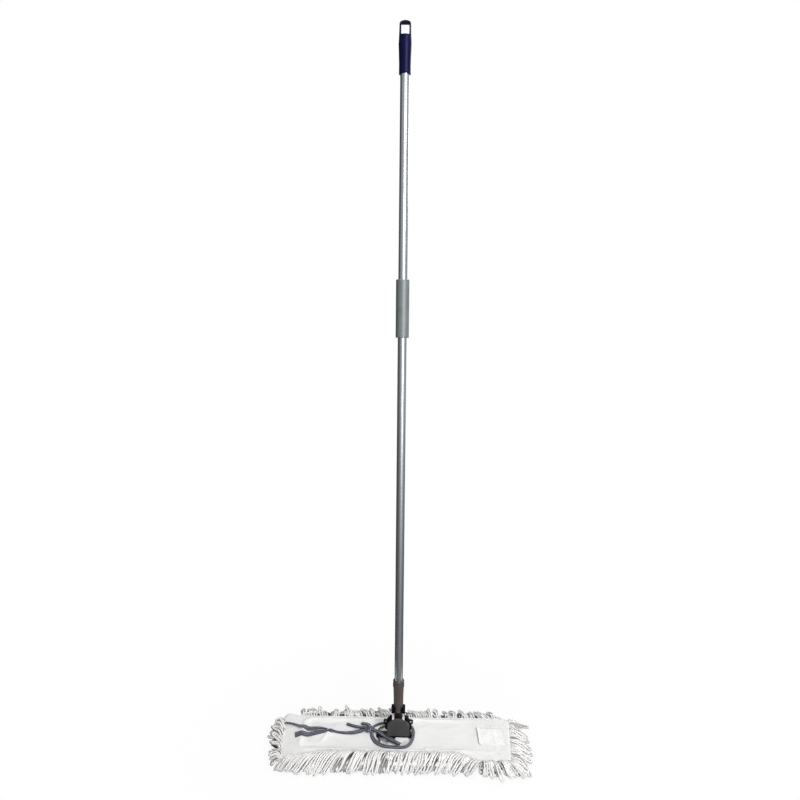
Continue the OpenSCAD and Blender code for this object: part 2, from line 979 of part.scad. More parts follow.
yarn_pile();
canvas_base();
canvas_top();
sewn_label();
fringe_front();
fringe_back();
fringe_left();
fringe_right();
frame_wire();
cross_wire_left();
cross_wire_right();
hub_base();
swivel_rivet();
swivel_washer();
tie_tack();
tie_knot();
tie_tail_back();
tie_tail_front();
tie_band();
tie_loop();
tie_end_long();
tie_end_short();
swivel_yoke();
hub_hood();
tilt_pin();
pivot_tongue();
joint_socket();
socket_pin();
handle_tube();
tube_plug();
mid_grip();
hand_grip();
lock_slider();
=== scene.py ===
"""Dust mop with a looped cotton cover: looks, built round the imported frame."""
import math
import random

import bmesh
import bpy
from mathutils import Matrix, Vector, noise


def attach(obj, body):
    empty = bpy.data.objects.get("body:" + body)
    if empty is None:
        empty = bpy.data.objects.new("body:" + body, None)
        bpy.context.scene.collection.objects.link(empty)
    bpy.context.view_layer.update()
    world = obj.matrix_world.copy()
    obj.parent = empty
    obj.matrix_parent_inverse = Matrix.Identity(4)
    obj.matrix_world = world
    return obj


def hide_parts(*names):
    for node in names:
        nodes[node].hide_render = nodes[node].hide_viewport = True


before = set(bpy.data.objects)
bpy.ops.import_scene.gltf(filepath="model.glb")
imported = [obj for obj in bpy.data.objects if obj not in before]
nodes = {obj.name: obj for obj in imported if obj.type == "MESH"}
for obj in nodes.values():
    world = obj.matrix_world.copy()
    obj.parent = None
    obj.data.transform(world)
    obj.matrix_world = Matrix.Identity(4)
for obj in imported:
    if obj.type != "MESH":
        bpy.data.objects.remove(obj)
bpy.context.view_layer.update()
scene = bpy.context.scene
MM = 0.001
UP = Vector((0, 0, 1))

# Sizes of the cover and the frame in it, in millimetres, as in the part's source
COVER_L, COVER_W, COVER_R = 505.0, 160.0, 16.0
COVER_X, COVER_Y = -6.0, -10.0
LEFT, RIGHT = COVER_X - COVER_L / 2, COVER_X + COVER_L / 2
FRONT, BACK = COVER_Y - COVER_W / 2, COVER_Y + COVER_W / 2
BASE_TOP = 15.2
OPENING_R, OPENING_X = 42.0, -10.0
SPREAD_LEFT, SPREAD_RIGHT = (3.5, 19.5), (2.0, 21.0)  # of the loose ends, at the front and the back
WIRE_L, WIRE_W, WIRE_R = 445.0, 107.0, 19.5
TACK = Vector((-159.0, 6.0, 0))
KNOT = Vector((-70.0, 13.0, 0))
TAPE_W = 12.0

# Sizes of the sewn pieces as the scene shows them, in millimetres
POCKET_TOP = 23.6
SEAM_INSET = 6.0
SEAM_STEP = 5.0
TOP_CLOTH, BASE_CLOTH, LABEL_CLOTH, TAPE_CLOTH, KNOT_CLOTH = 1.0, 0.9, 0.45, 1.2, 1.1
LABEL_X, LABEL_Y = (184.5, 241.5), (-31, 27)
LABEL_SEAM_X, LABEL_SEAM_Y = (193, 239.2), (-28.6, 24.6)
YARN_D, YARN_D_LEFT, YARN_D_UNDER = 4.0, 4.8, 5.0


# Finishes
def rgb(red, green, blue):
    """A colour as seen on screen, 0 to 255, turned into the linear one that sockets take."""
    def linear(level):
        level /= 255
        return level / 12.92 if level <= 0.04045 else ((level + 0.055) / 1.055) ** 2.4
    return (linear(red), linear(green), linear(blue), 1)


def grey(level):
    """A linear grey, 0 to 1, as sockets take it."""
    return (level, level, level, 1)


class Finish:
    """A node material being built: add() makes a node and joins or sets its sockets."""

    def __init__(self, name, **sockets):
        self.mat = bpy.data.materials.new(name)
        self.mat.use_nodes = True
        self.tree = self.mat.node_tree
        self.shader = self.tree.nodes["Principled BSDF"]
        self.give(**sockets)

    def join(self, socket, value):
        """Joins a socket to another one, or sets its value."""
        if isinstance(value, bpy.types.NodeSocket):
            self.tree.links.new(value, socket)
        else:
            socket.default_value = value

    def give(self, **sockets):
        """Joins or sets sockets of the plain shader, and returns the material."""
        for name, value in sockets.items():
            self.join(self.shader.inputs[name.replace("_", " ")], value)
        return self.mat

    def show(self, shader):
        """Puts another shader in the plain one's place, and returns the material."""
        self.join(self.tree.nodes["Material Output"].inputs["Surface"], shader)
        return self.mat

    def add(self, kind, sockets=None, out=0, **settings):
        node = self.tree.nodes.new("ShaderNode" + kind)
        for key, value in settings.items():
            setattr(node, key, value)
        for key, value in (sockets or {}).items():
            self.join(node.inputs[key], value)
        return node.outputs[out]

    def place(self, scale=(1, 1, 1)):
        """Object coordinates, in metres, times scale."""
        return self.add("Mapping", {"Vector": self.add("TexCoord", out="Object"), "Scale": scale})

    def uv(self):
        """The two axes of the piece's own UV map."""
        axes = self.add("SeparateXYZ", {0: self.add("UVMap", uv_map="UVMap")}).node.outputs
        return axes[0], axes[1]

    def grain(self, scale, detail, stretch=(1, 1, 1)):
        return self.add("TexNoise", {"Vector": self.place(stretch), "Scale": scale,
                                     "Detail": detail, "Roughness": 0.55})

    def calc(self, operation, a, b=0.0):
        return self.add("Math", {0: a, 1: b}, operation=operation)

    def slanted(self, a, times_a, b, times_b):
        """Rounded ribs that run at a slant to the two axes a and b."""
        turns = self.calc("ADD", self.calc("MULTIPLY", a, times_a), self.calc("MULTIPLY", b, times_b))
        return self.calc("ABSOLUTE", self.calc("SINE", self.calc("MULTIPLY", turns, math.pi)))

    def ramp(self, factor, *stops):
        """Colours along factor: each stop is a place and a colour."""
        made = self.add("ValToRGB", {"Fac": factor})
        band = made.node.color_ramp
        while len(band.elements) < len(stops):
            band.elements.new(0.5)
        for element, (at, colour) in zip(band.elements, stops):
            element.position = at
            element.color = colour
        return made

    def mask(self, factor, *stops):
        """Levels along factor: each stop is a place and a level."""
        return self.ramp(factor, *((at, grey(level)) for at, level in stops))

    def blend(self, factor, a, b):
        """Colour a turning into b. A Mix node's sockets 0, 6 and 7 are those for colours."""
        node = self.add("Mix", data_type="RGBA").node
        for key, value in ((0, factor), (6, a), (7, b)):
            self.join(node.inputs[key], value)
        return node.outputs[2]

    def scale_to(self, value, low, high):
        return self.add("MapRange", {"Value": value, "To Min": low, "To Max": high})

    def bump(self, height, depth, strength, under=None):
        """A normal for relief of that depth in metres, on top of the normal under it."""
        sockets = {"Height": height, "Distance": depth, "Strength": strength}
        if under is not None:
            sockets["Normal"] = under
        return self.add("Bump", sockets)


def cotton_yarn():
    """White cotton yarn: two twisted plies, painted shade in their grooves and down in the pile."""
    look = Finish("cotton_yarn", Roughness=0.92, Specular_IOR_Level=0.2,
                  Sheen_Weight=0.25, Sheen_Roughness=0.5)
    along, around = look.uv()
    ply = look.slanted(along, 26.0, around, 2.0)
    # Painted shade: the depth attribute darkens the yarn towards dark brown grey, down in the pile.
    depth = look.add("Attribute", attribute_name="depth", out="Fac")
    tint = look.ramp(look.grain(60, 2), (0.3, rgb(243, 242, 241)), (0.7, rgb(251, 251, 250)))
    # Painted shade: the grooves between the plies are greyer.
    ply_shaded = look.blend(look.scale_to(ply, 0.1, 0.0), tint, rgb(190, 186, 184))
    fibres = look.bump(look.grain(2600, 4), 0.0003, 0.5)
    return look.give(Base_Color=look.blend(depth, ply_shaded, rgb(74, 66, 62)),
                     Normal=look.bump(ply, 0.0007, 0.9, fibres))


def woven(look, pitch):
    """Height of a plain weave with that pitch in metres. A wave texture has 20 radians a metre."""
    wave = {"Vector": look.place(), "Scale": 2 * math.pi / (20 * pitch), "Distortion": 0.6,
            "Detail": 1.0, "Detail Scale": 2.0}
    warp, weft = (look.add("TexWave", wave, bands_direction=way, out="Fac") for way in "XY")
    return look.calc("MAXIMUM", warp, weft)


def cover_canvas():
    """White cotton canvas with an open plain weave and faint creases."""
    look = Finish("cover_canvas", Roughness=0.9, Specular_IOR_Level=0.2,
                  Sheen_Weight=0.12, Sheen_Roughness=0.5)
    weave = woven(look, 0.0011)
    cloud = look.ramp(look.grain(22, 4), (0.3, rgb(236, 236, 236)), (0.7, rgb(244, 244, 243)))
    colour = look.blend(look.scale_to(weave, 0.16, 0.0), cloud, rgb(190, 190, 188))
    slubs = look.grain(900, 2, (0.12, 1, 1))
    creases = look.bump(look.grain(70, 3), 0.0012, 0.35)
    threads = look.bump(weave, 0.00025, 0.8, creases)
    return look.give(Base_Color=colour, Normal=look.bump(slubs, 0.0002, 0.35, threads))


def label_cloth():
    """Plain white satin tape cloth, tighter and smoother than the canvas."""
    look = Finish("label_cloth", Roughness=0.55, Specular_IOR_Level=0.4,
                  Sheen_Weight=0.15, Sheen_Roughness=0.4)
    weave = woven(look, 0.0006)
    cloud = look.ramp(look.grain(40, 3), (0.3, rgb(236, 236, 236)), (0.7, rgb(245, 245, 244)))
    colour = look.blend(look.scale_to(weave, 0.12, 0.0), cloud, rgb(196, 196, 196))
    return look.give(Base_Color=colour, Normal=look.bump(weave, 0.00012, 0.6))


def tape_cloth():
    """Grey-blue cotton tape: herringbone weave, with a painted highlight as a pale streak along each
    half.
    """
    look = Finish("tape_cloth", Roughness=0.88, Specular_IOR_Level=0.25,
                  Sheen_Weight=0.2, Sheen_Roughness=0.5)
    across, along = look.uv()
    off = look.calc("ABSOLUTE", look.calc("SUBTRACT", across, 0.5))
    rib = look.slanted(off, 9.0, along, 8.0)
    body = look.ramp(look.grain(120, 3), (0.3, rgb(31, 33, 42)), (0.72, rgb(46, 49, 61)))
    threads = look.blend(look.scale_to(rib, 0.4, 0.0), body, rgb(27, 28, 36))
    # Painted highlight: a pale streak along each half of the tape.
    painted_highlight = look.mask(off, (0.06, 0), (0.13, 1), (0.26, 1), (0.36, 0))
    pale = look.calc("MULTIPLY", painted_highlight, look.scale_to(look.grain(90, 3), 0.0, 0.85))
    creases = look.bump(look.grain(260, 3), 0.0008, 0.4)
    return look.give(Base_Color=look.blend(pale, threads, rgb(170, 173, 192)),
                     Normal=look.bump(rib, 0.0003, 0.8, creases))


def moulded(name, colour, pale, rough, grain_size=900, wear=0.35, gloss=0.3, shine=(255, 255, 255)):
    """Moulded plastic: fine spark-eroded grain, cloudy gloss, edges rubbed paler."""
    look = Finish(name, Specular_IOR_Level=gloss, Specular_Tint=rgb(*shine))
    cloud = look.grain(45, 4)
    rubbed = look.mask(look.add("NewGeometry", out="Pointiness"), (0.52, 0), (0.6, 1))
    scuffs = look.mask(look.grain(160, 5), (0.5, 0), (0.75, 1))
    edge = look.calc("MULTIPLY", look.calc("MULTIPLY", rubbed, scuffs), wear)
    body = look.blend(look.scale_to(cloud, 0.0, 0.35), colour, pale)
    dull = look.calc("ADD", look.scale_to(cloud, rough - 0.06, rough + 0.08),
                     look.calc("MULTIPLY", edge, 0.2))
    return look.give(Base_Color=look.blend(edge, body, pale), Roughness=dull,
                     Normal=look.bump(look.grain(grain_size, 3), 0.00012, 0.5))


def drawn_aluminium():
    """Drawn tube: fine lines along its length, cloudy satin skin."""
    look = Finish("drawn_aluminium", Metallic=1.0, Specular_IOR_Level=0.5)
    lines = look.grain(420, 4, (1, 1, 0.004))
    cloud = look.grain(16, 4, (1, 1, 0.25))
    colour = look.blend(lines, rgb(204, 209, 216), rgb(214, 219, 226))
    rough = look.calc("ADD", look.scale_to(lines, 0.24, 0.28), look.scale_to(cloud, -0.01, 0.02))
    return look.give(Base_Color=colour, Roughness=rough, Normal=look.bump(lines, 0.00001, 0.03))


def plated_steel(name, low, high, rough):
    """Plated steel: dull zinc bloom with a fine grain."""
    look = Finish(name, Metallic=0.85, Specular_IOR_Level=0.5)
    bloom = look.grain(240, 5)
    return look.give(Base_Color=look.ramp(bloom, (0.3, low), (0.7, high)),
                     Roughness=look.scale_to(bloom, rough - 0.08, rough + 0.12),
                     Normal=look.bump(look.grain(1500, 3), 0.00008, 0.4))


def sleeve_foam():
    """Closed-cell foam sleeve: fine pores, satin skin."""
    look = Finish("sleeve_foam", Specular_IOR_Level=1.0)
    pores = look.add("TexVoronoi", {"Vector": look.place(), "Scale": 1250.0})
    cloud = look.grain(55, 4)
    tint = look.ramp(cloud, (0.3, rgb(110, 118, 119)), (0.7, rgb(123, 131, 132)))
    pits = look.calc("MULTIPLY", look.mask(pores, (0.08, 1), (0.3, 0)), 0.35)
    dents = look.bump(cloud, 0.0006, 0.25)
    return look.give(Base_Color=look.blend(pits, tint, rgb(84, 91, 93)),
                     Roughness=look.scale_to(cloud, 0.36, 0.44),
                     Normal=look.bump(pores, 0.0002, 0.5, dents))


YARN = cotton_yarn()
CANVAS = cover_canvas()
LABEL = label_cloth()
TAPE = tape_cloth()
WIRE = plated_steel("frame_steel", rgb(96, 98, 100), rgb(140, 142, 144), 0.42)
PIN = plated_steel("pin_steel", rgb(150, 150, 152), rgb(196, 196, 196), 0.32)
BLACK = moulded("black_plastic", rgb(15, 15, 16), rgb(38, 38, 40), 0.42, gloss=0.2)
HOOD = moulded("hood_plastic", rgb(60, 59, 60), rgb(84, 83, 84), 0.5, grain_size=1100)
SOCKET = moulded("socket_plastic", rgb(76, 68, 64), rgb(96, 88, 84), 0.38, grain_size=1100)
NAVY = moulded("navy_plastic", rgb(10, 10, 48), rgb(25, 25, 72), 0.36, grain_size=800, wear=0.2,
               gloss=0.2, shine=(190, 192, 255))
# Painted shade: a darker copy of the navy plastic, for the slider.
NAVY_SHADED = moulded("navy_plastic_shaded", rgb(6, 5, 26), rgb(15, 14, 42), 0.42, grain_size=800,
                      wear=0.2, gloss=0.08)
TUBE = drawn_aluminium()
FOAM = sleeve_foam()


# Helpers for pieces
def to_mesh(name, bm):
    mesh = bpy.data.meshes.new(name)
    bm.to_mesh(mesh)
    bm.free()
    return mesh


def stand(name, mesh, finish):
    """Stands a mesh in the scene, with one finish."""
    mesh.materials.clear()
    mesh.materials.append(finish)
    obj = bpy.data.objects.new(name, mesh)
    scene.collection.objects.link(obj)
    return obj


def put_mesh(name, mesh, body, slot, finish, *replaced):
    """A mesh as a piece that rides on a body and stands for CAD nodes."""
    obj = stand(name, mesh, finish)
    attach(obj, body)
    if replaced:
        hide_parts(*replaced)
    return obj


def put(name, bm, body, slot, finish, *replaced):
    """A bmesh as such a piece, with smooth shading."""
    mesh = to_mesh(name, bm)
    mesh.shade_smooth()
    return put_mesh(name, mesh, body, slot, finish, *replaced)


def thicken(obj, thick, offset=0):
    """Gives a cloth its thickness, to both of its sides or, at -1, below it."""
    wall = obj.modifiers.new("cloth", "SOLIDIFY")
    wall.thickness, wall.offset = thick * MM, offset


def soften(obj):
    soft = obj.modifiers.new("soft", "SUBSURF")
    soft.levels = soft.render_levels = 1


def mix(a, b, t):
    return a + (b - a) * t


def ease(t):
    """0 to 1 as t goes from 0 to 1, level at both ends and past them."""
    t = min(max(t, 0.0), 1.0)
    return t * t * (3 - 2 * t)


def hump(distance, width):
    """1 at no distance, falling off in a bell over the width."""
    return math.exp(-(distance / width) ** 2)


def along_list(values, t):
    """Value at t, 0 to 1, of evenly spaced numbers."""
    spot = t * (len(values) - 1)
    k = min(int(spot), len(values) - 2)
    return mix(values[k], values[k + 1], ease(spot - k))


def box_gap(x, y, half_l, half_w, corner):
    """Signed distance to a rounded rectangle's outline, negative inside."""
    qx, qy = abs(x) - half_l + corner, abs(y) - half_w + corner
    return math.hypot(max(qx, 0), max(qy, 0)) + min(max(qx, qy), 0) - corner


def even_steps(line, gaps, count):
    """The first count of the points that cut a line into that many even gaps."""
    reach = [0.0]
    for a, b in zip(line, line[1:]):
        reach.append(reach[-1] + (b - a).length)
    out, k = [], 0
    for n in range(count):
        goal = reach[-1] * n / gaps
        while k < len(line) - 2 and reach[k + 1] < goal:
            k += 1
        t = (goal - reach[k]) / (reach[k + 1] - reach[k])
        out.append(line[k].lerp(line[k + 1], min(t, 1.0)))
    return out


def route_points(route, count, fine=16):
    """A smooth curve through the route's points, in even steps."""
    pts = [Vector(p) for p in route]
    ends = [pts[0] * 2 - pts[1]] + pts + [pts[-1] * 2 - pts[-2]]
    line = []
    for k in range(len(pts) - 1):
        a, b, c, d = ends[k:k + 4]
        for s in range(fine):
            t = s / fine
            line.append(0.5 * (2 * b + (c - a) * t + (2 * a - 5 * b + 4 * c - d) * t * t
                               + (3 * b - a - 3 * c + d) * t ** 3))
    line.append(pts[-1])
    return even_steps(line, count - 1, count)


# Camera, light and floor, in metres
CAMERA_AT = (0.01507, -1.32302, 0.95944)
CAMERA_TURN = (-0.798, 6.678, 0.573)  # yaw, pitch down and roll, in degrees
CAMERA_LENS = 27.605
STAGE_R, TENT_H, TENT_Z = 6.0, 7.0, 0.0015
WHITE = (1, 1, 1, 1)


def set_camera():
    yaw, pitch, roll = map(math.radians, CAMERA_TURN)
    ahead = Vector((math.sin(yaw) * math.cos(pitch), math.cos(yaw) * math.cos(pitch),
                    -math.sin(pitch)))
    right = Vector((math.cos(yaw), -math.sin(yaw), 0))
    up = right.cross(ahead)
    across = right * math.cos(roll) + up * math.sin(roll)
    above = up * math.cos(roll) - right * math.sin(roll)
    data = bpy.data.cameras.new("camera")
    data.sensor_width, data.lens = 36.0, CAMERA_LENS
    data.clip_start, data.clip_end = 0.05, 50
    obj = bpy.data.objects.new("camera", data)
    turn = Matrix((across, above, -ahead)).transposed().to_4x4()
    obj.matrix_world = Matrix.Translation(CAMERA_AT) @ turn
    scene.collection.objects.link(obj)
    scene.camera = obj


def lamp(name, place, aim, size, power, colour=(1, 1, 1), height=None):
    """A soft box at place that faces aim: square, or of that width and height."""
    data = bpy.data.lights.new(name, "AREA")
    data.energy, data.color = power, colour
    data.size = size
    if height:
        data.shape, data.size_y = "RECTANGLE", height
    obj = bpy.data.objects.new(name, data)
    way = Vector(aim) - Vector(place)
    obj.matrix_world = Matrix.Translation(place) @ way.to_track_quat("-Z", "Y").to_matrix().to_4x4()
    scene.collection.objects.link(obj)
    return obj


def seen_directly(tree):
    """1 for rays that should meet the plain white background."""
    path = tree.nodes.new("ShaderNodeLightPath")
    total = path.outputs["Is Camera Ray"]
    for ray in ("Is Glossy Ray", "Is Transmission Ray"):
        top = tree.nodes.new("ShaderNodeMath")
        top.operation = "MAXIMUM"
        tree.links.new(total, top.inputs[0])
        tree.links.new(path.outputs[ray], top.inputs[1])
        total = top.outputs[0]
    return total


def set_studio():
    """A dim world that shows as white, and the lamps."""
    world = bpy.data.worlds.new("studio")
    scene.world = world
    world.use_nodes = True
    tree = world.node_tree
    tree.nodes.clear()
    both = tree.nodes.new("ShaderNodeMixShader")
    tree.links.new(seen_directly(tree), both.inputs[0])
    for socket, strength in ((1, 0.11), (2, 1.0)):
        glow = tree.nodes.new("ShaderNodeBackground")
        glow.inputs["Color"].default_value = WHITE
        glow.inputs["Strength"].default_value = strength
        tree.links.new(glow.outputs[0], both.inputs[socket])
    end = tree.nodes.new("ShaderNodeOutputWorld")
    tree.links.new(both.outputs[0], end.inputs["Surface"])
    lamp("key", (1.8, -3.3, 2.7), aim=(0, 0, 0.6), size=1.2, power=88, colour=(1.0, 0.985, 0.97),
         height=2.4)
    lamp("front", (1.7, -3.5, 1.4), aim=(0, 0, 0.6), size=1.2, power=56, height=2.4)
    lamp("top", (0.4, 0.2, 4.6), aim=(0, 0, 0), size=2.2, power=92)
    lamp("back", (1.5, 3.1, 2.9), aim=(0, 0, 0.5), size=2.1, power=50)
    lamp("fill", (-2.9, -2.0, 2.2), aim=(0, 0, 0.5), size=2.1, power=3, colour=(0.965, 0.98, 1.0))
    low = lamp("low", (0.5, -3.0, 0.6), aim=(0, 0, 0.02), size=1.6, power=16)
    low.visible_glossy = False


def stage_disc():
    bm = bmesh.new()
    bmesh.ops.create_circle(bm, cap_ends=True, segments=96, radius=STAGE_R)
    return bm


# Brightness of the tent's wall, by share of a turn from the left by way of the front
TENT_TURN = ((0.0, 0.1), (0.044, 0.12), (0.153, 0.3), (0.25, 0.72), (0.319, 1.05), (0.38, 0.85),
             (0.456, 0.46), (0.544, 0.36), (0.735, 0.34), (0.765, 0.11), (0.894, 0.09), (1.0, 0.1))
# How far the tent's dim floor has turned into the wall's tone, by share of the radius
TENT_AWAY = ((0.1, 0.01), (0.15, 0.06), (0.25, 0.2), (0.43, 0.42), (0.83, 0.93), (1.0, 1.0))


def set_tent():
    """Grey tent round the set, met by mirror rays alone: bright to the right of the camera,
    dark to its left, and dim where its floor lies close to the mop."""
    bm = stage_disc()
    rim = [e for e in bm.edges if e.is_boundary]
    wall = bmesh.ops.extrude_edge_only(bm, edges=rim)["geom"]
    top = [v for v in wall if isinstance(v, bmesh.types.BMVert)]
    bmesh.ops.translate(bm, verts=top, vec=(0, 0, TENT_H))
    bmesh.ops.translate(bm, verts=bm.verts, vec=(0, 0, TENT_Z))
    look = Finish("tent_cloth")
    turn = look.add("TexGradient", {"Vector": look.place()}, gradient_type="RADIAL", out="Fac")
    side = look.mask(turn, *TENT_TURN)
    low = look.calc("MULTIPLY", look.calc("POWER", side, 0.5), 0.22)
    away = look.add("VectorMath", {0: look.place((1, 1, 0))}, operation="LENGTH", out="Value")
    far = look.mask(look.calc("DIVIDE", away, STAGE_R), *TENT_AWAY)
    glow = look.add("Emission", {"Color": look.blend(far, low, side), "Strength": 1.0})
    obj = stand("tent", to_mesh("tent", bm), look.show(glow))
    obj.visible_camera = obj.visible_diffuse = obj.visible_shadow = False
    obj.visible_transmission = obj.visible_volume_scatter = False


def set_floor():
    """White floor that keeps a soft shadow near the mop and fades to plain white."""
    look = Finish("floor_white", Base_Color=grey(0.22), Roughness=0.9)
    white = look.add("Emission", {"Color": WHITE, "Strength": 1.0})
    paper = look.add("BsdfDiffuse", {"Color": grey(0.9)})
    away = look.add("VectorMath", {0: look.place()}, operation="LENGTH", out="Value")
    fade = look.add("MapRange", {"Value": away, "From Min": 0.25, "From Max": 0.6,
                                 "To Min": 0.9, "To Max": 1.0})
    shown = look.add("MixShader", {0: fade, 1: paper, 2: white})
    both = look.add("MixShader", {0: seen_directly(look.tree), 1: look.shader.outputs[0], 2: shown})
    stand("floor", to_mesh("floor", stage_disc()), look.show(both))


scene.view_settings.view_transform = "Standard"
set_camera()
set_studio()
set_tent()
set_floor()


# The cover's top cloth
FOLDS = (  # start x, y, direction in degrees, length, height, width
    (-159, 6, 245, 60, 4.8, 6), (-159, 6, 275, 52, 2.4, 6), (-159, 6, 210, 62, 3.2, 6),
    (-159, 6, 128, 52, 1.5, 7), (-159, 6, 60, 55, 1.4, 8), (-159, 6, 318, 60, 1.5, 8),
    (-70, 13, 110, 52, 1.3, 8), (-78, 8, 235, 62, 1.2, 9), (52, 20, 30, 90, 0.9, 9),
    (60, -24, 335, 100, 1.0, 10), (150, 30, 185, 70, 0.8, 8), (120, -62, 20, 60, 1.6, 8),
    (56, -48, 4, 50, 3.4, 5),
)
SPREAD_FROM, SPREAD_OVER = 185, 65  # from the cover's middle: where its ends spread, and over what


def spread(x, y):
    """How far the loose ends of the cover lie past their cut outline."""
    back = (y - FRONT) / COVER_W
    if x < COVER_X:
        return -mix(*SPREAD_LEFT, back) * ease((COVER_X - x - SPREAD_FROM) / SPREAD_OVER)
    return mix(*SPREAD_RIGHT, back) * ease((x - COVER_X - SPREAD_FROM) / SPREAD_OVER)


def cut_x(x, y):
    """Where in the cut outline the cloth that lies at x, y comes from."""
    u = x
    for _ in range(8):
        u = x - spread(u, y)
    return u


def from_corner(u, y):
    """Distance from the back left corner, which is turned up."""
    return math.hypot(u - LEFT - 6, y - BACK + 4)


def from_opening(x, y):
    """Distance from the rim of the opening round the joint, negative in the opening."""
    return math.hypot(x - OPENING_X, y) - OPENING_R


def over_wire(x, y):
    """The ridge over the frame's wire and the slack beside it, flatter at the right end."""
    gap = box_gap(x, y, WIRE_L / 2, WIRE_W / 2, WIRE_R)
    taut = mix(1.0, 0.3, ease((x - 110) / 70))
    z = 1.8 * taut * hump(gap, 4.0)
    if gap > 0:
        return z - 1.6 * taut * ease(gap / 16)
    held = hump(abs(x) - 43, 12) * hump(y, 40)
    z -= 1.1 * taut * ease(-gap / 12) * (1 - held)
    return z - 1.6 * hump(-gap - 14, 9) * ease((-x - 120) / 60)


def folded(x, y):
    """The cloth's folds: each rises near its start, and widens and runs out along its length."""
    z = 0.0
    for fold_x, fold_y, turn, length, height, width in FOLDS:
        cos, sin = math.cos(math.radians(turn)), math.sin(math.radians(turn))
        down = (x - fold_x) * cos + (y - fold_y) * sin
        side = (x - fold_x) * -sin + (y - fold_y) * cos
        if down > 0:
            start = ease(down / (1.6 * width))
            z += height * start * ease(1 - down / length) * hump(side, width * (0.5 + down / length))
    return z


def waves(x, y, inset):
    """Slow waves that die out at the edge, and finer ones all over."""
    slow = noise.noise(Vector((x * 0.014, y * 0.02, 3.7)))
    fine = noise.noise(Vector((x * 0.05, y * 0.07, 8.1)))
    return 1.3 * slow * ease(inset / 12) + 0.45 * fine


def raised(x, y):
    """Where the sewn knot, the cross wires and the opening's hem lift the cloth."""
    tacked = 1.2 * hump(math.hypot(x - TACK.x, y - TACK.y), 12)
    crossed = 0.9 * hump(abs(x) - 45, 14) * hump(y, 16)
    return tacked + crossed + 0.7 * hump(from_opening(x, y) - 2, 3)


def at_edge(u, y, inset):
    """The dip along the seam, the fall at the edge, the front and the left end, and the corner."""
    dip = 1.0 * hump(inset - SEAM_INSET, 1.3) + 3.4 * ease(1 - inset / 4.5)
    fall = 3.0 * ease(1 - (y - FRONT) / 16) + 4.5 * ease((-226 - u) / 44)
    return 5.0 * hump(from_corner(u, y), 16) - dip - fall


def cloth_top(x, y):
    """Height of the cover's upper face."""
    u = cut_x(x, y)
    inset = -box_gap(u - COVER_X, y - COVER_Y, COVER_L / 2, COVER_W / 2, COVER_R)
    shape = over_wire(x, y) + folded(x, y) + waves(x, y, inset)
    return POCKET_TOP + shape + raised(x, y) + at_edge(u, y, inset)


def cover_outline(count, half_l, half_w, corner, arc=12):
    """Points spaced evenly round a rounded rectangle."""
    line = []
    for k, (sx, sy) in enumerate(((1, 1), (-1, 1), (-1, -1), (1, -1))):
        cx, cy = sx * (half_l - corner), sy * (half_w - corner)
        for s in range(arc + 1):
            a = math.radians(90 * k + 90 * s / arc)
            line.append(Vector((cx + corner * math.cos(a), cy + corner * math.sin(a), 0)))
    line.append(line[0].copy())
    return even_steps(line, count, count)


def cover_sheet(name, hole_r, height_at, around, rings, thick, *replaced):
    """A cloth cut to the cover's outline with a round hole, laid at height_at(x, y)."""
    bm = bmesh.new()
    bm.loops.layers.uv.new("UVMap")
    bmesh.ops.create_grid(bm, x_segments=around, y_segments=rings, size=1)
    rim = cover_outline(around, COVER_L / 2, COVER_W / 2, COVER_R)
    hub = Vector((OPENING_X, 0, 0))
    middle = Vector((COVER_X, COVER_Y, 0))
    bm.verts.ensure_lookup_table()
    for k, v in enumerate(bm.verts):
        ring, spoke = divmod(k, around + 1)
        edge = rim[spoke % around] + middle
        ray = (edge - hub).normalized()
        s = ring / rings
        out = s * (1.35 - 0.35 * s)  # rings lie closer towards the edge
        p = (hub + ray * hole_r).lerp(edge, out)
        x = p.x + spread(p.x, p.y)
        y = p.y + 5.0 * hump(from_corner(p.x, p.y), 14)
        v.co = (x * MM, y * MM, height_at(x, p.y) * MM)
    bmesh.ops.remove_doubles(bm, verts=bm.verts, dist=1e-6)
    bmesh.ops.recalc_face_normals(bm, faces=bm.faces)
    if sum(face.normal.z for face in bm.faces) < 0:
        bmesh.ops.reverse_faces(bm, faces=bm.faces)
    obj = put(name, bm, "mop_head", "canvas", CANVAS, *replaced)
    thicken(obj, thick, -1)
    return obj


cover_top = cover_sheet("cover_top", OPENING_R, cloth_top, 400, 60, TOP_CLOTH, "canvas_top")


# The cover's base cloth
def base_height(x, y):
    """Height of the base cloth, which bulges and folds up in front of the joint."""
    fold = hump(y + 13.5 + 0.06 * x, 3.0) * ease((x + 13) / 9) * ease((31 - x) / 9)
    swell = hump(y + 27, 13) * ease((x + 34) / 14) * ease((33 - x) / 12)
    ruffle = 1 + 0.35 * noise.noise(Vector((x * 0.12, y * 0.05, 5.1)))
    rough = 0.5 * noise.noise(Vector((x * 0.06, y * 0.06, 1.3)))
    return BASE_TOP - 0.2 + rough + 9.2 * fold + 5.0 * swell * ruffle


cover_base = cover_sheet("cover_base", 0.0, base_height, 360, 90, BASE_CLOTH, "canvas_base")


# Seams
def sew(name, lines, long, slot, finish):
    """Rows of stitches, one from each odd point of a line on the cloth to the next, in millimetres."""
    bm = bmesh.new()
    size = Matrix.Diagonal((long / 2 * MM, 0.55 * MM, 0.42 * MM, 1))
    for line in lines:
        for a, b in zip(line[::2], line[1::2]):
            turn = (b - a).normalized().to_track_quat("X", "Z").to_matrix().to_4x4()
            place = Matrix.Translation((a + b) / 2 * MM)
            bmesh.ops.create_icosphere(bm, subdivisions=1, radius=1, matrix=place @ turn @ size)
    return put(name, bm, "mop_head", slot, finish)


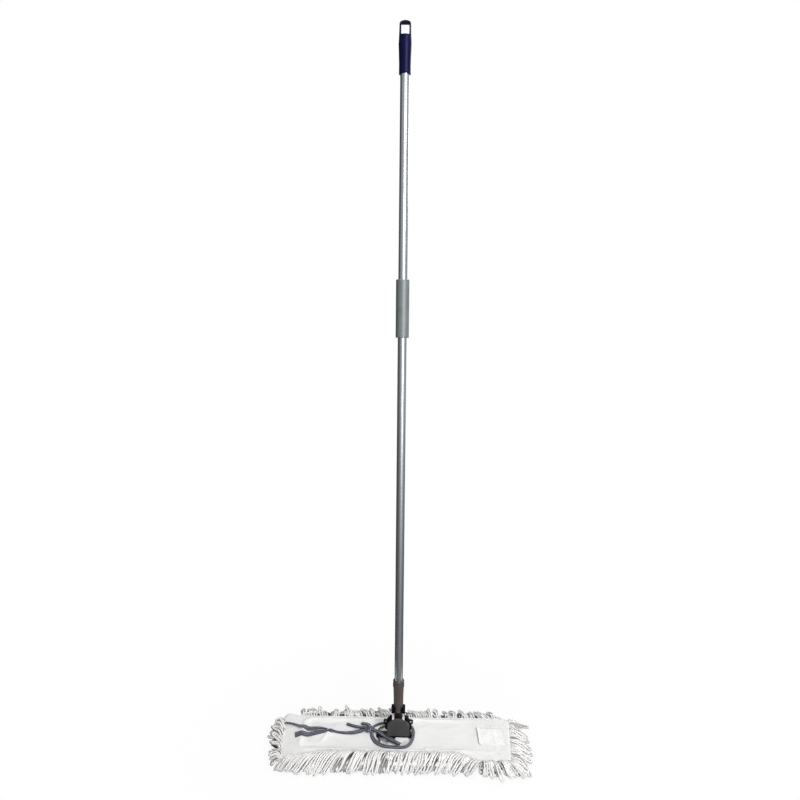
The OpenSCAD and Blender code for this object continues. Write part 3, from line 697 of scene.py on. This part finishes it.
def edge_line(inset, step):
    """An even number of points, about a step apart, round the cover at that inset."""
    half_l, half_w = COVER_L / 2 - inset, COVER_W / 2 - inset
    count = int(4 * (half_l + half_w) / step) // 2 * 2
    pts = cover_outline(count, half_l, half_w, max(COVER_R - inset, 2))
    pts = [p + Vector((COVER_X, COVER_Y, 0)) for p in pts]
    return [p + Vector((spread(p.x, p.y), 0, 0)) for p in pts]


def ring_line(radius, count):
    """Points round the opening."""
    return [Vector((OPENING_X + radius * math.cos(2 * math.pi * k / count),
                    radius * math.sin(2 * math.pi * k / count), 0)) for k in range(count)]


def laid(points, height_at, lift):
    """The points, each at that lift over height_at(x, y)."""
    return [Vector((p.x, p.y, height_at(p.x, p.y) + lift)) for p in points]


seam_lines = [laid(edge_line(SEAM_INSET, SEAM_STEP), cloth_top, 0.05),
              laid(ring_line(OPENING_R + 4.5, 110), cloth_top, 0.05)]
cover_seams = sew("cover_seams", seam_lines, 2.7, "canvas", CANVAS)


# The plain label
def label_height(x, y):
    """Height of the label, whose left edge is loose and stands up a little."""
    lift = 3.0 * ease((191.5 - x) / 7) + 0.5 * noise.noise(Vector((x * 0.08, y * 0.08, 5)))
    return cloth_top(x, y) + 0.75 + max(lift, 0)


def make_label():
    """The label and the seam along three of its sides."""
    bm = bmesh.new()
    bmesh.ops.create_grid(bm, x_segments=40, y_segments=40, size=0.5)
    for v in bm.verts:
        x, y = mix(*LABEL_X, v.co.x + 0.5), mix(*LABEL_Y, v.co.y + 0.5)
        v.co = (x * MM, y * MM, label_height(x, y) * MM)
    obj = put("sewn_label_cloth", bm, "mop_head", "label_cloth", LABEL, "sewn_label")
    thicken(obj, LABEL_CLOTH)
    (x0, x1), (y0, y1) = LABEL_SEAM_X, LABEL_SEAM_Y
    corners = [Vector((x, y, 0)) for x, y in ((x0, y0), (x1, y0), (x1, y1), (x0, y1))]
    sides = []
    for a, b in zip(corners, corners[1:]):
        count = int((b - a).length / 1.6) // 2 * 2
        line = [a.lerp(b, k / count) for k in range(count)]
        sides.append(laid(line, label_height, 0.3))
    return obj, sew("sewn_label_seam", sides, 1.9, "label_cloth", LABEL)


label, label_seam = make_label()


# Tie tapes
TAIL_BACK = [(-165, 9, 28.4), (-180, 12, 28.4), (-206, 16, 26.6), (-226, 21, 26), (-248, 30, 26),
             (-272, 40, 26)]
TAIL_FRONT = [(-165, 3, 26), (-182, 0, 26), (-204, -3, 26), (-224, -4, 26), (-239, -7, 26)]
BAND = [(-152.8, 6, 26), (-132.3, 2.5, 26), (-108.3, 3, 26), (-89.6, 8.5, 26), (-78.9, 13, 26)]
LOOP = [(-62, 9, 26), (-61, -6, 26), (-55, -22, 26), (-42, -38, 26), (-20, -47, 26),
        (4, -48, 26), (21, -41, 26), (31, -26, 26), (36, -5, 26), (36, 15, 26), (29, 30, 26),
        (13, 38, 26), (-7, 41, 26), (-28, 41, 26), (-46, 36, 26), (-58, 26, 26), (-63, 17, 26)]
END_LONG = [(-61.5, 12.5, 28.4), (-44.5, -0.5, 27.8), (-27.5, -13.5, 27.4), (-10, -27, 27.6),
            (7, -40, 28.4)]
END_SHORT = [(-79, 17, 28.4), (-94, 21.5, 27.6), (-109, 28, 26.4), (-122, 35, 26)]
OVER_KNOT = [(-86, 33, 27.4), (-79, 26.5, 31.5), (-71, 20, 34.5), (-64, 14.5, 32), (-60, 11.2, 29)]
ROUTE_LIE = 26.0  # height in the routes of a tape that rests on the cloth
OPENING_LIE = 24.8  # height at which a tape lies across the opening
SHORT_STEPS, KNOT_STEPS, WRAP_STEPS = 14, 14, 26  # points along the short end, over the knot, round it


def weave_strip(bm, path, normals, widths, cup, across=6):
    """A flat tape along path, all in millimetres, with its weave's UVs."""
    rows = len(path) - 1
    strip = bmesh.ops.create_grid(bm, x_segments=across, y_segments=rows, size=0.5,
                                  calc_uvs=True)["verts"]
    total = sum((b - a).length for a, b in zip(path, path[1:]))
    for k, v in enumerate(strip):
        row, col = divmod(k, across + 1)
        way = (path[min(row + 1, rows)] - path[max(row - 1, 0)]).normalized()
        side = way.cross(normals[row]).normalized()
        top = side.cross(way)
        a = 2 * col / across - 1
        p = path[row] + side * (a * widths[row] / 2) + top * (cup[row] * (a * a - 0.4))
        v.co = p * MM
    layer = bm.loops.layers.uv["UVMap"]
    own = set(strip)
    for face in {face for v in strip for face in v.link_faces}:
        for loop in face.loops:
            if loop.vert in own:
                loop[layer].uv.y *= total / 10


def tape_mesh():
    bm = bmesh.new()
    bm.loops.layers.uv.new("UVMap")
    return bm


def put_tape(name, bm, node, thick):
    obj = put(name, bm, "mop_head", "tape_cloth", TAPE, node)
    thicken(obj, thick)
    return obj


def lay_tape(name, node, route, count, widths, rolls, cups, **facts):
    flat = route_points(route, count)
    path, normals, wide, cup = [], [], [], []
    for k, p in enumerate(flat):
        t = k / (count - 1)
        roll = math.radians(along_list(rolls, t))
        way = (flat[min(k + 1, count - 1)] - flat[max(k - 1, 0)]).normalized()
        side = way.cross(UP).normalized()
        wide.append(along_list(widths, t))
        cup.append(along_list(cups, t))
        rise = abs(math.sin(roll)) * wide[-1] * 0.42 + max(-0.6 * cup[-1], 0)
        on_cloth = from_opening(p.x, p.y) > -4 or p.z > ROUTE_LIE + 1
        ground = cloth_top(p.x, p.y) if on_cloth else OPENING_LIE
        path.append(Vector((p.x, p.y, ground + (p.z - ROUTE_LIE) + 1.0 + rise)))
        normals.append(UP * math.cos(roll) + side * math.sin(roll))
    bm = tape_mesh()
    weave_strip(bm, path, normals, wide, cup)
    obj = put_tape(name, bm, node, TAPE_CLOTH)
    soften(obj)


def wrap(bm, centre, axis, tall, wide, turns, width, drift, start):
    """A turn of tape round a knot: an oval about axis, with the tape's face outwards."""
    axis = Vector((*axis, 0)).normalized()
    side = axis.cross(UP).normalized()
    top = side.cross(axis).normalized()
    path, normals = [], []
    for k in range(WRAP_STEPS):
        t = k / (WRAP_STEPS - 1)
        a = start + 2 * math.pi * turns * t
        out = side * (math.cos(a) * wide) + top * (math.sin(a) * tall)
        path.append(centre + out + axis * (drift * (t - 0.5)))
        normals.append((side * (math.cos(a) / wide) + top * (math.sin(a) / tall)).normalized())
    weave_strip(bm, path, normals, [width] * WRAP_STEPS, [0.5] * WRAP_STEPS, 4)


def knot(name, node, at, lift, wraps, core, over=()):
    """A knot of tape round a core; over is the route of an end that runs across its top."""
    centre = Vector((at.x, at.y, cloth_top(at.x, at.y) + lift))
    bm = tape_mesh()
    for one in wraps:
        wrap(bm, centre, *one)
    if over:
        path = route_points(over, KNOT_STEPS)
        weave_strip(bm, path, [UP] * KNOT_STEPS, [TAPE_W * 0.7] * KNOT_STEPS, [-3.2] * KNOT_STEPS)
    size = Matrix.Diagonal((*(c * MM for c in core), 1))
    bmesh.ops.create_uvsphere(bm, u_segments=16, v_segments=10, radius=1, calc_uvs=True,
                              matrix=Matrix.Translation(centre * MM) @ size)
    return put_tape(name, bm, node, KNOT_CLOTH)


def short_end():
    """The second end of the bow, too short to count as a free cord of its own."""
    path = [Vector((p.x, p.y, cloth_top(p.x, p.y) + p.z - ROUTE_LIE + 3.0))
            for p in route_points(END_SHORT, SHORT_STEPS)]
    wide = [along_list((7, 7, 7.5, 8.5, 7.5), k / (SHORT_STEPS - 1)) for k in range(SHORT_STEPS)]
    bm = tape_mesh()
    weave_strip(bm, path, [UP] * SHORT_STEPS, wide, [-3.4] * SHORT_STEPS)
    obj = put_tape("tie_short_end", bm, "tie_end_short", TAPE_CLOTH)
    soften(obj)
    return obj


TACK_WRAPS = (  # axis, half height, half width, turns, tape's width, drift, start
    ((1, -0.15), 2.8, 5.2, 1.4, 6.0, 4.0, 0.4),
    ((0.9, 0.5), 2.3, 4.4, 1.1, 3.6, 1.5, 2.0),
)
KNOT_WRAPS = (
    ((0.8, -0.6), 4.9, 8.6, 1.5, 7.0, 5.0, 0.3),
    ((0.75, 0.65), 4.6, 8.0, 1.2, 6.2, 2.0, 1.2),
    ((0.2, 1.0), 4.0, 7.4, 1.1, 5.4, 1.5, 2.6),
)
tack = knot("tie_tack_wraps", "tie_tack", TACK, 2.0, TACK_WRAPS, (9.0, 4.2, 2.3))
main_knot = knot("tie_knot_wraps", "tie_knot", KNOT, 5.0, KNOT_WRAPS, (8.6, 8.0, 4.2), OVER_KNOT)
lay_tape("tie_tail_back_tape", "tie_tail_back", TAIL_BACK, 26, widths=(7, 12, 14, 10, 8, 8),
         rolls=(25, 10, 0, 10, 18, 12), cups=(1.2, 1.6, 1.0, 1.4, 1.6, 1.6), far_end="bare",
         with_pieces=[tack])
lay_tape("tie_tail_front_tape", "tie_tail_front", TAIL_FRONT, 20, widths=(7, 10, 14, 17, 18.5),
         rolls=(-20, -10, 0, 0, 0), cups=(1.4, 1.2, 0.8, 0.6, 0.8), far_end="bare")
lay_tape("tie_band_tape", "tie_band", BAND, 20, widths=(5, 5, 8, 12, 12, 8),
         rolls=(30, 20, 5, 0, 0, 15), cups=(1.4, 1.4, 1.2, 1.0, 1.4), far_end="knot")
lay_tape("tie_loop_tape", "tie_loop", LOOP, 44, widths=(8, 9.6, 8.2, 6.8, 6.4, 6.8, 7.2, 7.5, 7),
         rolls=(10, 15, 20, 15, 20, 25, 20, 15, 10), cups=(-2.2, -2.2), far_end="object",
         with_pieces=[main_knot, short_end()])
lay_tape("tie_long_end_tape", "tie_end_long", END_LONG, 24, widths=(8.5, 9, 9.2, 9, 8.5),
         rolls=(5, 5), cups=(-3.2, -3.2), far_end="bare")


# Yarn
def yarn_piece(name, loops, thick, node):
    """Closed loops of yarn: each is (points in millimetres, depth of painted shade per point)."""
    curve = bpy.data.curves.new(name, "CURVE")
    curve.dimensions = "3D"
    curve.bevel_depth, curve.bevel_resolution = thick / 2 * MM, 1
    shades = []
    for points, shade in loops:
        spline = curve.splines.new("POLY")
        spline.points.add(len(points) - 1)
        for point, p in zip(spline.points, points):
            point.co = (p[0] * MM, p[1] * MM, p[2] * MM, 1)
        spline.use_cyclic_u = True
        shades.extend(shade)
    maker = bpy.data.objects.new(name + "_line", curve)
    scene.collection.objects.link(maker)
    shown = maker.evaluated_get(bpy.context.evaluated_depsgraph_get())
    mesh = bpy.data.meshes.new_from_object(shown)
    mesh.name = name
    bpy.data.objects.remove(maker)
    sides = len(mesh.vertices) // len(shades)
    mesh.shade_smooth()
    painted_shades = []
    # Painted shade: each point's shade, and more on the sides and under sides of the yarn.
    for k, normal in enumerate(mesh.vertex_normals):
        painted_shades.append(min(1.0, shades[k // sides] + 0.06 * (1 - normal.vector.z)))
    layer = mesh.attributes.new("depth", "FLOAT", "POINT")
    layer.data.foreach_set("value", painted_shades)
    put_mesh(name, mesh, "mop_head", "cotton_yarn", YARN, node)


LEG_STEPS = (0.0, 0.12, 0.24, 0.36, 0.48, 0.6, 0.7, 0.79, 0.86, 0.93, 0.98)
LOWEST = 2.4  # of the middle of a yarn, over the floor


def loop_of(rng, root, tip, rise, body, eye, twist, dark, sag, bend):
    """One loop of yarn: two legs that leave the seam at root and join in a round tip. The legs lie
    twice body apart, and twice eye at the tip; sag above 1 keeps the loop high for longer."""
    way = Vector((tip.x - root.x, tip.y - root.y, 0)).normalized()
    side = UP.cross(way)

    def middle(t):
        p = root.lerp(tip, t) + side * (bend * math.sin(math.pi * t))
        arch = math.sin(math.pi * min(t * 1.25, 1.0)) * (1 - 0.35 * t)
        p.z = mix(root.z, tip.z, t ** sag) + rise * arch
        return p

    def leg(sign):
        out = []
        for t in LEG_STEPS:
            apart = mix(body, eye, ease((t - 0.35) / 0.4))
            apart *= math.sqrt(1 - max((t - 0.82) / 0.18, 0) ** 2)
            across = side * math.cos(twist * (t - 0.4)) + UP * (math.sin(twist * (t - 0.4)) * 0.8)
            wobble = Vector([rng.uniform(-0.3, 0.3) for _ in range(3)])
            out.append(middle(t) + across * (sign * apart) + wobble)
        return out

    points = leg(1) + [middle(1.0)] + leg(-1)[::-1]
    for p in points:
        p.z = max(p.z, LOWEST)
    # Painted shade: the loop's shade, lighter towards its tip, and more of it at the roots by the seam.
    lit = [1 - 0.5 * ease((t - 0.55) / 0.45) for t in LEG_STEPS]
    shade = [min(1, dark * part + 0.2 * (1 - t) ** 3) for t, part in zip(LEG_STEPS, lit)]
    return points, shade + [dark * lit[-1]] + shade[::-1]


def along_row(rng, length, pitch, stray):
    """Places along a row of loops, from 0 to 1, about a pitch apart."""
    count = int(length / pitch)
    for k in range(count):
        yield (k + 0.5 + rng.uniform(-stray, stray)) / count


def inside(along, margin):
    """1 well within a row that runs from 0 to 1, fading to 0 over a margin at both of its ends."""
    return ease(min(along, 1 - along) / margin) if margin else 1.0


FRONT_LEAN = (-29, -35, -37, -33, -18, -15, -18, -23, -26, -35, -34, 16, 32)
FRONT_TIP = (-104, -104, -105, -105, -104, -104, -102, -100, -99, -98, -100, -108, -108)
# Painted shade of the lowest front row, from left to right.
FRONT_PAINTED_SHADE = (0.2, 0.9, 0.9, 0.9, 0.9, 0.85, 0.85, 0.9, 0.95, 0.95, 0.9, 0.45, 0.3, 0.1)
FRONT_ROWS = (  # pitch, inset, lift, lean's stray, tip's inset, its stray, its lift, rise, painted shade, sag
    (7.0, 25, 0.8, 3.0, 8, 2.0, 0.0, 2.6, FRONT_PAINTED_SHADE, 2.8),
    (15.0, 27, 1.4, 3.0, 4, 3.0, 0.5, 4.0, (0.16, 0.16), 2.5),
    (10.6, 29, 2.0, 3.5, 0, 4.5, 1.5, 6.0, (0, 0), 2.2),
    (28.0, 27, 2.6, 8.0, 2, 4.0, 3.0, 8.0, (0, 0), 2.2),
)


def fringe_front():
    """Loops over the front seam: a close row painted dark as shade, two fuller ones and a few strays.
    """
    rng = random.Random(11)
    loops = []
    for pitch, inset, lift, lean_stray, short, tip_stray, tip_lift, rise, dark, sag in FRONT_ROWS:
        for along in along_row(rng, COVER_L - 26, pitch, 0.34):
            x = mix(LEFT + 24, RIGHT, along)
            bow = min(mix(0.4, 1.0, ease(along / 0.2)), mix(0.25, 1.0, ease((0.87 - along) / 0.12)))
            y = FRONT + inset * bow
            root = Vector((x, y, cloth_top(x, y) + lift))
            lean = along_list(FRONT_LEAN, along) + rng.gauss(0, lean_stray)
            reach = along_list(FRONT_TIP, along) + short + rng.gauss(0, tip_stray)
            tip = Vector((x + lean, reach, rng.uniform(2.5, 5.0) + tip_lift))
            arch = rise * mix(0.6, 1.0, bow) + rng.gauss(0, 1.2)
            loops.append(loop_of(rng, root, tip, arch, body=rng.uniform(2.1, 2.7),
                                 eye=rng.uniform(3.0, 4.4), twist=rng.gauss(0, 0.5),
                                 dark=along_list(dark, along), sag=sag, bend=rng.gauss(0, 2.0)))
    return loops


BACK_ROWS = (  # pitch, root's height, lean's stray, tip's reach, its height, rise, twist, painted shade, margin
    (6.0, 17.5, 4, 25, 9, 2.0, 0.5, 0.95, 0.1),
    (13.5, 18.5, 4, 29, 15, 4.5, 0.5, 0.03, 0),
    (30.0, 19.5, 9, 25, 22, 6.0, 1.4, 0.0, 0),
)


def fringe_back():
    """Short curly loops that stand up behind the back seam."""
    rng = random.Random(23)
    loops = []
    for pitch, root_z, lean_stray, reach, tip_z, rise, twist, dark, margin in BACK_ROWS:
        for along in along_row(rng, COVER_L - 34, pitch, 0.3):
            x = mix(LEFT + 21, RIGHT + 4, along)
            root = Vector((x, BACK - 3, root_z))
            lean = rng.gauss(-14 + 5 * math.sin(9 * along + 0.6), lean_stray)
            tip = Vector((x + lean, BACK + reach + rng.gauss(0, 4.5),
                          max(tip_z + rng.gauss(0, 3.5), 2.5)))
            loops.append(loop_of(rng, root, tip, rise + rng.gauss(0, 1.2), body=2.7,
                                 eye=rng.uniform(3.0, 4.4), twist=rng.gauss(0, twist),
                                 dark=dark * inside(along, margin), sag=1.2, bend=rng.gauss(0, 2.5)))
    return loops


LEFT_TURN = (-4, 12, 28, 34, 32, 24, 12)
LEFT_REACH = (0.85, 0.95, 1.15, 1.3, 1.2, 0.9, 0.5)
LEFT_ROWS = (  # pitch, root's height, tip's reach, its height, rise, painted shade, margin
    (8.0, 16.0, 18, 3.5, 0.5, 1.0, 0.15),
    (17.0, 17.2, 23, 12, 3.0, 0.2, 0),
    (24.0, 18.4, 19, 17, 4.5, 0.0, 0),
)


def fringe_left():
    """Open loops that fan out from the left end, towards the back over most of it."""
    rng = random.Random(37)
    loops = []
    for pitch, root_z, reach, tip_z, rise, dark, margin in LEFT_ROWS:
        for along in along_row(rng, COVER_W - 2, pitch, 0.3):
            y = mix(FRONT + 4, BACK - 16, along)
            x = LEFT + spread(LEFT, y)
            root = Vector((x + 3, y, root_z))
            tip = Vector((x - reach * along_list(LEFT_REACH, along) + rng.gauss(0, 2),
                          y + along_list(LEFT_TURN, along) + rng.gauss(0, 4),
                          tip_z + rng.uniform(0, 4)))
            loops.append(loop_of(rng, root, tip, rise + rng.gauss(0, 0.8), body=3.0,
                                 eye=rng.uniform(4.8, 6.8), twist=rng.gauss(0.5, 0.5),
                                 dark=dark * inside(along, margin), sag=1.4, bend=rng.gauss(-2, 2)))
    return loops


RIGHT_ROWS = (  # pitch, root's height, how much shorter, tip's height, rise, painted shade
    (17.0, 16.5, 0, 2.6, 0.5, 0.4),
    (15.0, 17.7, 4, 4.0, 2.0, 0.0),
    (24.0, 18.9, 8, 7.0, 3.5, 0.0),
)


def fringe_right():
    """Long open loops that fan out flat from the right end."""
    rng = random.Random(53)
    loops = []
    for pitch, root_z, short, tip_z, rise, dark in RIGHT_ROWS:
        for along in along_row(rng, COVER_W - 2, pitch, 0.35):
            y = mix(FRONT + 4, BACK - 4, along)
            x = RIGHT + spread(RIGHT, y)
            root = Vector((x - 3, y, root_z))
            reach = mix(48, 39, along) * mix(0.7, 1, ease(along / 0.3)) - short
            tip = Vector((x + reach + rng.gauss(0, 4), y + mix(-22, -4, along) + rng.gauss(0, 7),
                          tip_z + rng.uniform(0, 3)))
            loops.append(loop_of(rng, root, tip, rise + rng.gauss(0, 0.8), body=2.6,
                                 eye=rng.uniform(4.2, 6.4), twist=rng.gauss(0, 0.4),
                                 dark=dark, sag=1.3, bend=rng.gauss(5, 3)))
    return loops


PILE_ROWS, PILE_PER_ROW = 13, 46
PILE_INSET, PILE_TOP = 10, 13.2
# Painted shade of a pile loop's points: darker at both ends, up under the base cloth.
PILE_SHADE = [0.45, 0.25, 0.05, 0.05, 0.25, 0.45]


def pile_loops():
    """Rows of short loops sewn to the under side of the base cloth."""
    rng = random.Random(71)
    loops = []
    for row in range(PILE_ROWS):
        y = mix(FRONT + PILE_INSET, BACK - PILE_INSET, row / (PILE_ROWS - 1))
        for k in range(PILE_PER_ROW):
            along = (k + 0.5 * (row % 2)) / (PILE_PER_ROW - 0.5)
            x = mix(LEFT + PILE_INSET, RIGHT - PILE_INSET, along)
            fall = Vector((rng.uniform(-7, 7), rng.uniform(-9, 9), 0))
            half = Vector((rng.uniform(2.4, 3.4), rng.uniform(-2.4, 2.4), 0))
            at = Vector((x, y, PILE_TOP))
            low = Vector((x, y, rng.uniform(2.5, 4.0))) + fall
            mid = at.lerp(low, 0.55) + UP * -1.5
            points = [at + half * 0.5, mid + half * 1.1, low + half * 0.8,
                      low - half * 0.8, mid - half * 1.1, at - half * 0.5]
            loops.append((points, PILE_SHADE))
    return loops


yarn_piece("yarn_front", fringe_front(), YARN_D, "fringe_front")
yarn_piece("yarn_back", fringe_back(), YARN_D, "fringe_back")
yarn_piece("yarn_left", fringe_left(), YARN_D_LEFT, "fringe_left")
yarn_piece("yarn_right", fringe_right(), YARN_D, "fringe_right")
yarn_piece("yarn_under", pile_loops(), YARN_D_UNDER, "yarn_pile")


# Joint and handle
SHARP = math.radians(32)


def eased(name, node, body, slot, finish, width, segments=2):
    """A copy of a CAD node's shape with its sharp edges rounded over."""
    bm = bmesh.new()
    bm.from_mesh(nodes[node].data)
    bmesh.ops.remove_doubles(bm, verts=bm.verts, dist=4e-6)
    bmesh.ops.dissolve_limit(bm, angle_limit=math.radians(0.6), verts=bm.verts, edges=bm.edges)
    sharp = [e for e in bm.edges if len(e.link_faces) == 2 and e.calc_face_angle(0) > SHARP]
    bmesh.ops.bevel(bm, geom=sharp, offset=width * MM, offset_type="OFFSET", segments=segments,
                    profile=0.5, affect="EDGES", clamp_overlap=True, material=-1)
    bmesh.ops.triangulate(bm, faces=[face for face in bm.faces if len(face.verts) > 4])
    obj = put(name, bm, body, slot, finish, node)
    obj.modifiers.new("even", "WEIGHTED_NORMAL").keep_sharp = True


eased("hood_shell", "hub_hood", "swivel_head", "hood_plastic", HOOD, 0.9, 3)
eased("yoke_body", "swivel_yoke", "swivel_head", "black_plastic", BLACK, 0.5)
eased("tongue_body", "pivot_tongue", "handle", "black_plastic", BLACK, 0.5)
eased("socket_body", "joint_socket", "handle", "socket_plastic", SOCKET, 0.4)
eased("slider_body", "lock_slider", "lock", "navy_plastic", NAVY_SHADED, 0.7)
eased("grip_body", "hand_grip", "handle", "navy_plastic", NAVY, 1.2, 3)
eased("bar_body", "hub_base", "mop_head", "black_plastic", BLACK, 0.4)
eased("sleeve_body", "mid_grip", "handle", "sleeve_foam", FOAM, 1.0, 3)

for node, finish in (("frame_wire", WIRE), ("cross_wire_left", WIRE), ("cross_wire_right", WIRE),
                     ("swivel_rivet", PIN), ("swivel_washer", PIN), ("tilt_pin", PIN),
                     ("socket_pin", PIN), ("handle_tube", TUBE), ("tube_plug", BLACK)):
    for material_slot in nodes[node].material_slots:
        material_slot.material = finish
